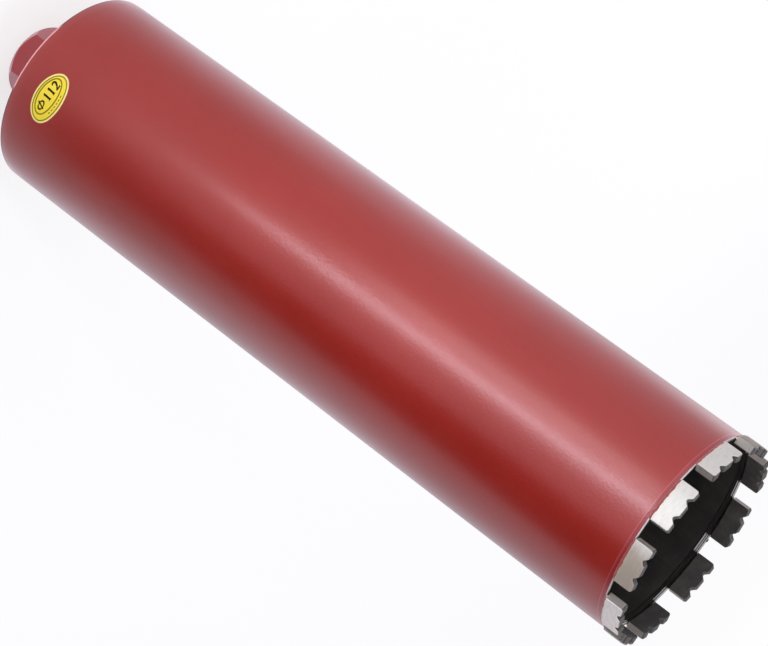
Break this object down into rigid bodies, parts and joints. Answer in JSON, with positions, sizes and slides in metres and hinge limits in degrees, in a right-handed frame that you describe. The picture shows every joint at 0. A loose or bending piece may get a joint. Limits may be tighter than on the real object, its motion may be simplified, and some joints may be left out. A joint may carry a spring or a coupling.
{
  "type": "diamond core bit",
  "caption": "Thin-walled steel barrel with notched diamond segments round its open rim and a threaded hexagonal hub behind.",
  "frame": {"origin": "centre of the hub's end face, where the bit screws up against the spindle and on which it stands", "axes": "+Z along the bit's axis from the hub to the crown; -Y towards the side that carries the oval size label"},
  "size_m": [0.112, 0.112, 0.4469],
  "materials": {
    "red_paint": "satin stoved paint with a faint orange peel",
    "bare_steel": "turned steel, dull with a film of oil",
    "segment_metal": "ground sintered bond with fine diamond grit",
    "solder": "dull silver solder",
    "label_film": "yellow printed film"
  },
  "bodies": {
    "root": {"barrel_tube": "red_paint", "back_plate": "red_paint", "plate_weld": "red_paint", "hex_hub": "red_paint", "hub_weld": "red_paint", "braze_joints": "solder", "size_label": "label_film", "segment_01": "segment_metal", "segment_02": "segment_metal", "segment_03": "segment_metal", "segment_04": "segment_metal", "segment_05": "segment_metal", "segment_06": "segment_metal", "segment_07": "segment_metal", "segment_08": "segment_metal", "segment_09": "segment_metal", "segment_10": "segment_metal"}
  },
  "joints": []
}
